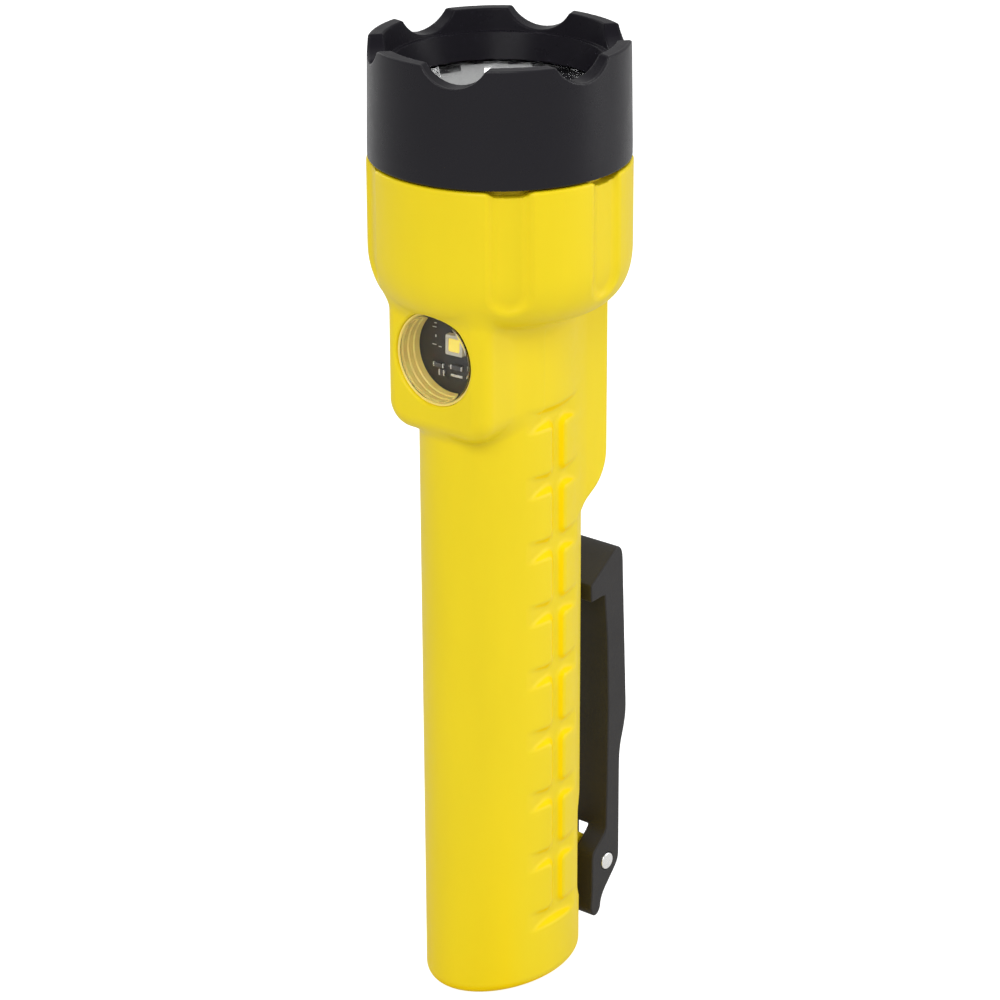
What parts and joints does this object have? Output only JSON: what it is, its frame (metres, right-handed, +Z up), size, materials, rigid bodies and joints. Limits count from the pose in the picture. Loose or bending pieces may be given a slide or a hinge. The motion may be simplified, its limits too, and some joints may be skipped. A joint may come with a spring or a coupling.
{
  "type": "firefighter flashlight",
  "caption": "Hand-held twin-light flashlight: oval ribbed grip, round head with toothed screw bezel, side flood light, two push buttons and a sprung belt clip.",
  "frame": {"origin": "centre of the flat tail, on the axis of the head and handle", "axes": "+Z up along the light, out of the bezel; the flood light looks along -Y; the push buttons and the clip are on +Y; the ribbed grip sides are +X and -X"},
  "size_m": [0.046, 0.0516, 0.178],
  "materials": {
    "yellow_nylon": "satin moulded glass-filled nylon",
    "black_nylon": "satin moulded",
    "clip_nylon": "satin moulded",
    "clear_plastic": "polished clear polycarbonate",
    "black_rubber": "matte",
    "button_rubber": "matte",
    "grey_rubber": "matte",
    "clear_silicone": "translucent",
    "bright_reflector": "vacuum metallised mirror finish",
    "aluminium": "machined",
    "spring_steel": "drawn wire",
    "pin_steel": "polished",
    "brass": "plated strip",
    "board_white": "solder mask",
    "board_black": "solder mask",
    "board_green": "solder mask",
    "led_phosphor": "silicone dome over yellow phosphor",
    "led_ceramic": "white ceramic package",
    "grey_plastic": "moulded",
    "cell_sleeve": "plain painted sleeve on a metal can"
  },
  "bodies": {
    "housing": {"body_housing": "yellow_nylon", "spot_led": "led_phosphor", "spot_led_board": "board_white", "heat_sink": "aluminium", "head_o_ring": "black_rubber", "chassis": "grey_plastic", "flood_lens": "clear_plastic", "flood_lens_seal": "clear_silicone", "flood_led_board": "board_black", "flood_led": "led_ceramic", "switch_frame": "black_nylon", "button_membrane": "grey_rubber", "spot_switch": "grey_plastic", "flood_switch": "grey_plastic", "control_board": "board_green", "battery_carrier": "black_nylon", "carrier_contact_strip": "brass", "carrier_contact_board": "board_green", "tail_cushion": "grey_rubber", "battery_cell_1": "cell_sleeve", "battery_cell_2": "cell_sleeve", "battery_cell_3": "cell_sleeve", "battery_cell_4": "cell_sleeve", "cell_spring_1": "spring_steel", "cell_spring_2": "spring_steel", "contact_spring_1": "spring_steel", "contact_spring_2": "spring_steel", "clip_pin": "pin_steel"},
    "bezel": {"bezel": "black_nylon", "spot_lens": "clear_plastic", "lens_gasket": "black_rubber"},
    "reflector": {"reflector": "bright_reflector", "reflector_washer": "grey_plastic"},
    "clip": {"clip": "clip_nylon", "clip_spring": "spring_steel"},
    "spot_button": {"spot_button": "button_rubber"},
    "flood_button": {"flood_button": "button_rubber"}
  },
  "joints": [
    {"name": "reflector_rise", "type": "slide", "parent": "housing", "child": "reflector", "axis": [0, 0, 1], "range_m": [0, 0.0045]},
    {"name": "bezel_turn", "type": "hinge", "parent": "reflector", "child": "bezel", "pos_m": [0, 0, 0.1575], "axis": [0, 0, 1], "range_deg": [0, 540]},
    {"name": "clip_hinge", "type": "hinge", "parent": "housing", "child": "clip", "pos_m": [0, 0.0227, 0.0135], "axis": [-1, 0, 0], "range_deg": [0, 10], "stiffness_Nm_per_rad": 0.6, "springref_deg": -20.05},
    {"name": "spot_button_press", "type": "slide", "parent": "housing", "child": "spot_button", "axis": [0, -1, 0], "range_m": [0, 0.001], "stiffness_N_per_m": 900, "springref_m": -0.0008},
    {"name": "flood_button_press", "type": "slide", "parent": "housing", "child": "flood_button", "axis": [0, -1, 0], "range_m": [0, 0.001], "stiffness_N_per_m": 900, "springref_m": -0.0008}
  ],
  "couplings": [
    {"joint": "bezel_turn", "follows": "reflector_rise", "rad_per_m": 2094.4}
  ]
}
